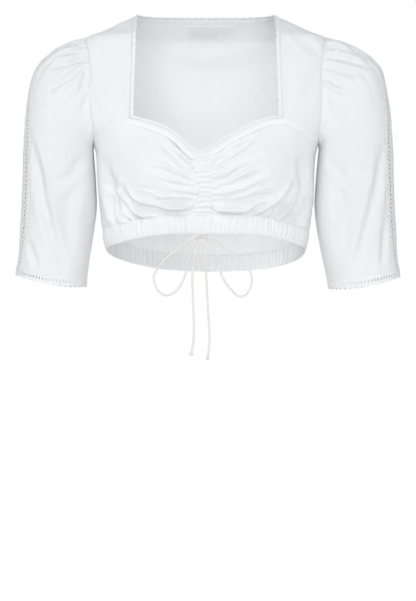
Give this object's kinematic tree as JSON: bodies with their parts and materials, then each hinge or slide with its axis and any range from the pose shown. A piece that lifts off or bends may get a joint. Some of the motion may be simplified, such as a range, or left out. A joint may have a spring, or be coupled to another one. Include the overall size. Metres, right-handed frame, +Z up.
{
  "type": "dirndl blouse",
  "caption": "Short dirndl blouse with a sweetheart neck, lace-trimmed elbow sleeves, ruched front and a tied drawstring, filled out as worn.",
  "frame": {"origin": "between the wearer's two shoulders, level with the middle of the shoulder seams", "axes": "+X to the viewer's right across the shoulders, -Y towards the front of the blouse, +Z up"},
  "size_m": [0.5385, 0.2405, 0.4829],
  "materials": {
    "linen": "matte plain weave, white",
    "lace": "matte cotton lace, white",
    "cord": "matte twisted cotton, off-white",
    "label": "satin woven tape, white, bare"
  },
  "bodies": {
    "root": {"back": "linen", "centre_tunnel": "linen", "hem_band_front": "linen", "hem_band_back": "linen", "yoke_left": "linen", "bust_left": "linen", "sleeve_front_left": "linen", "sleeve_back_left": "linen", "yoke_right": "linen", "bust_right": "linen", "sleeve_front_right": "linen", "sleeve_back_right": "linen", "neck_lace_back": "lace", "neck_lace_left": "lace", "bust_lace_left": "lace", "sleeve_lace_left": "lace", "cuff_lace_left": "lace", "neck_lace_right": "lace", "bust_lace_right": "lace", "sleeve_lace_right": "lace", "cuff_lace_right": "lace", "neck_label": "label", "size_tab": "label", "bow_knot": "cord", "loop_left": "cord", "loop_right": "cord", "tail_left": "cord", "tail_right": "cord", "end_knot_left": "cord", "end_knot_right": "cord"}
  },
  "joints": []
}
